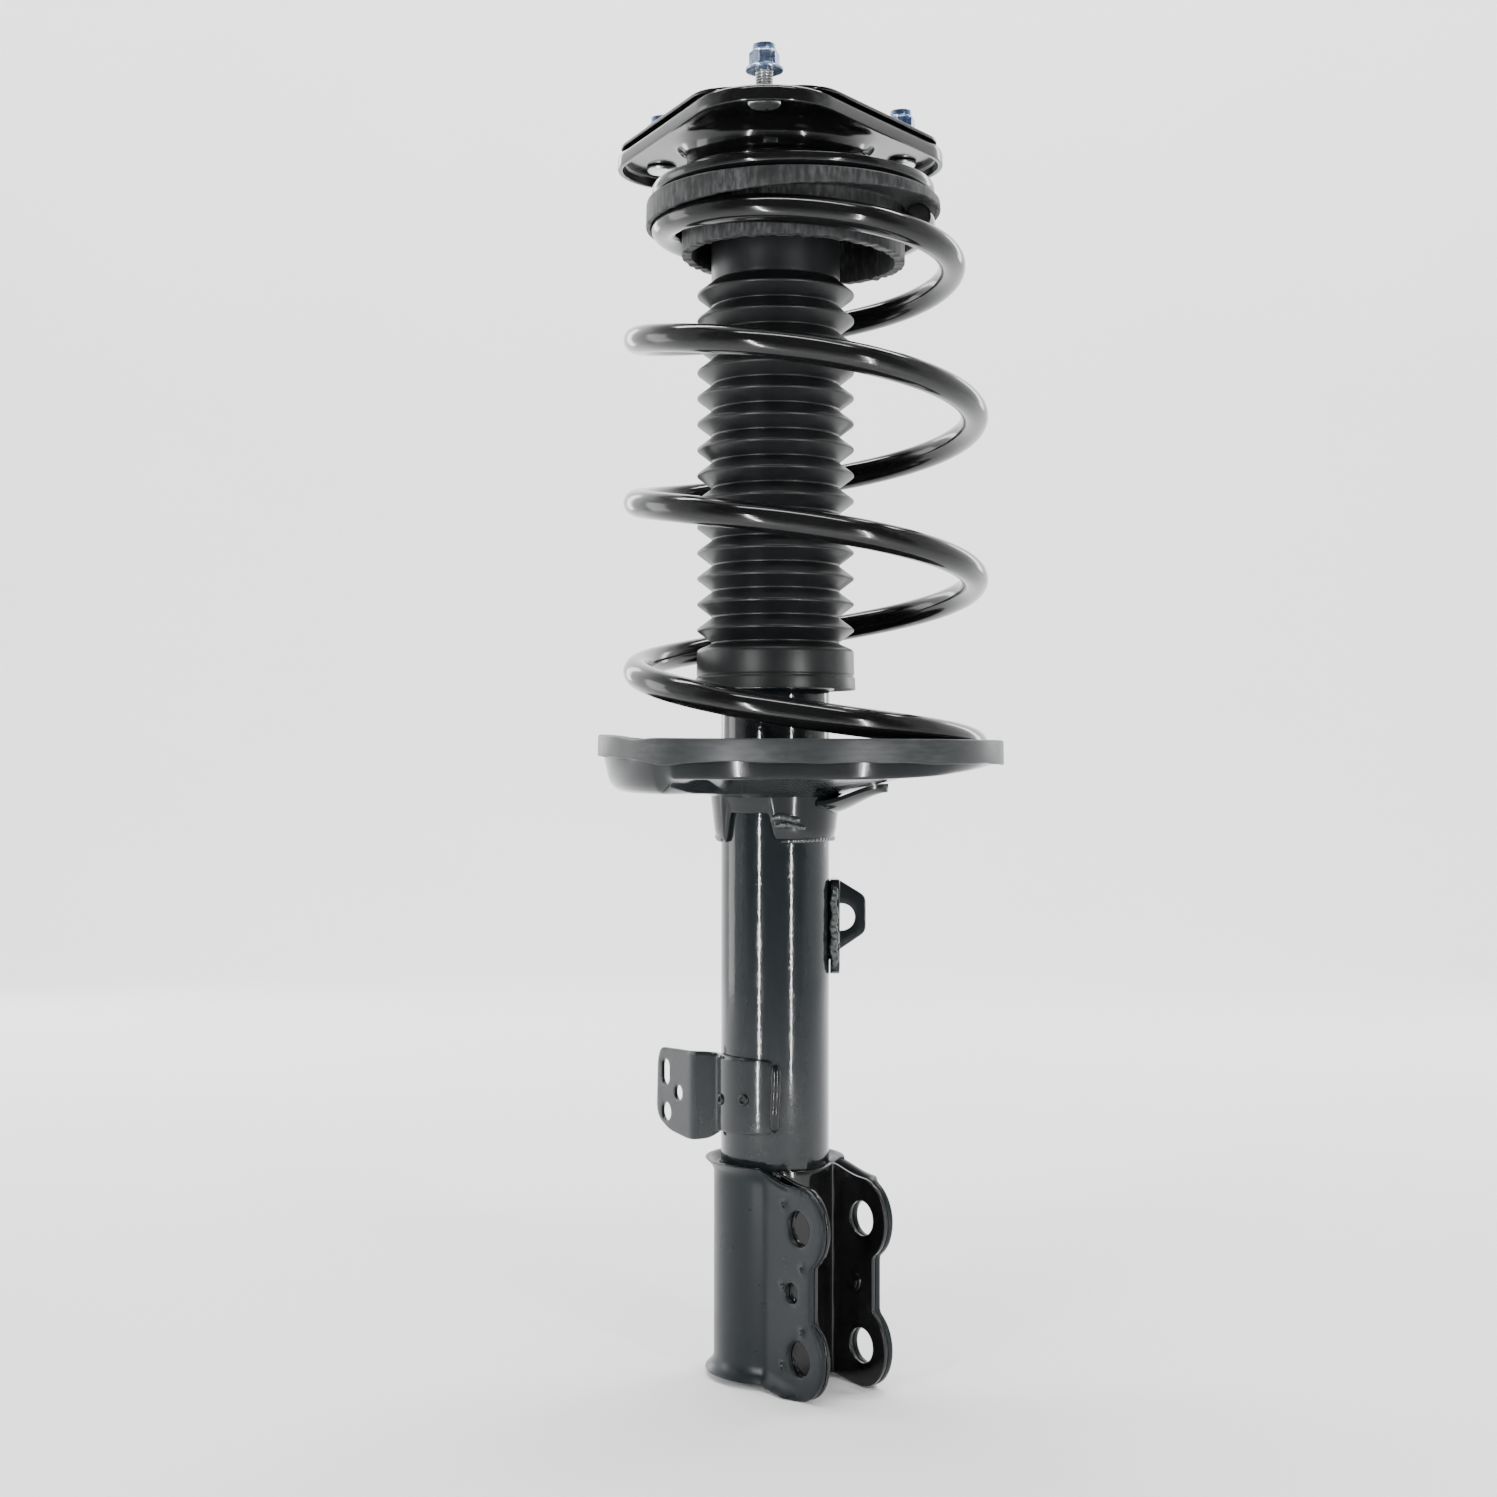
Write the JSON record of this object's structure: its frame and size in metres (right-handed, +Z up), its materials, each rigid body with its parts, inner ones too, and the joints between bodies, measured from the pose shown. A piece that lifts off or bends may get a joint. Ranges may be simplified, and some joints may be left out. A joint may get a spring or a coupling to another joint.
{
  "type": "suspension strut",
  "caption": "Front suspension strut: twin-tube damper with coil spring, dust boot, three-stud rubber top mount, knuckle clevis, hose bracket and link bracket.",
  "frame": {"origin": "middle of the flat underside of the damper's base cap, on the damper axis", "axes": "+Z up along the damper axis towards the top mount, +X to the right and +Y away from the viewer when the left of the three studs, the hose bracket and the front of the knuckle clevis are seen"},
  "size_m": [0.1869, 0.1867, 0.6016],
  "materials": {
    "black_paint": "gloss black electrocoat",
    "grey_paint": "dark grey gloss paint",
    "bracket_paint": "dark bluish grey satin paint",
    "zinc": "bright zinc plate with a blue tint",
    "steel": "machined steel",
    "chrome": "ground hard chrome",
    "rubber": "matte black rubber with a chalky bloom",
    "boot_rubber": "satin black thermoplastic rubber",
    "foam": "cellular polyurethane",
    "plastic": "black glass-filled nylon"
  },
  "bodies": {
    "lower_strut": {"reservoir_tube": "grey_paint", "base_cap": "grey_paint", "pressure_tube": "steel", "base_valve": "steel", "rod_guide": "steel", "rod_seal": "rubber", "tube_end_cap": "steel", "lower_spring_seat": "grey_paint", "seat_support": "grey_paint", "lower_insulator": "rubber", "knuckle_bracket": "bracket_paint", "bracket_reinforcement": "black_paint", "hose_bracket": "grey_paint", "link_bracket": "grey_paint", "coil_spring": "black_paint"},
    "upper_seat": {"upper_spring_seat": "black_paint", "upper_isolator": "rubber", "bearing_lower_race": "plastic", "bearing_ball_cage": "steel", "dust_boot": "boot_rubber"},
    "top_mount": {"piston_rod": "chrome", "rebound_stop": "rubber", "rebound_stop_retainer": "steel", "piston": "steel", "piston_ring": "plastic", "piston_nut": "steel", "bearing_upper_race": "plastic", "bump_stop": "foam", "mount_plate": "black_paint", "mount_rubber": "rubber", "mount_sleeve": "steel", "rod_washer": "zinc", "rod_nut": "zinc", "mount_cover": "plastic", "mount_stud_left": "zinc", "mount_stud_front": "zinc", "mount_stud_right": "zinc", "stud_nut_left": "zinc", "stud_nut_front": "zinc", "stud_nut_right": "zinc"}
  },
  "joints": [
    {"name": "damper_stroke", "type": "slide", "parent": "lower_strut", "child": "upper_seat", "axis": [0, 0, 1], "range_m": [-0.145, 0], "stiffness_N_per_m": 25000, "springref_m": 0.03, "deforming": ["coil_spring", "dust_boot"]},
    {"name": "mount_bearing", "type": "hinge", "parent": "upper_seat", "child": "top_mount", "pos_m": [0, 0, 0.541], "axis": [0, 0, 1], "continuous": true}
  ]
}
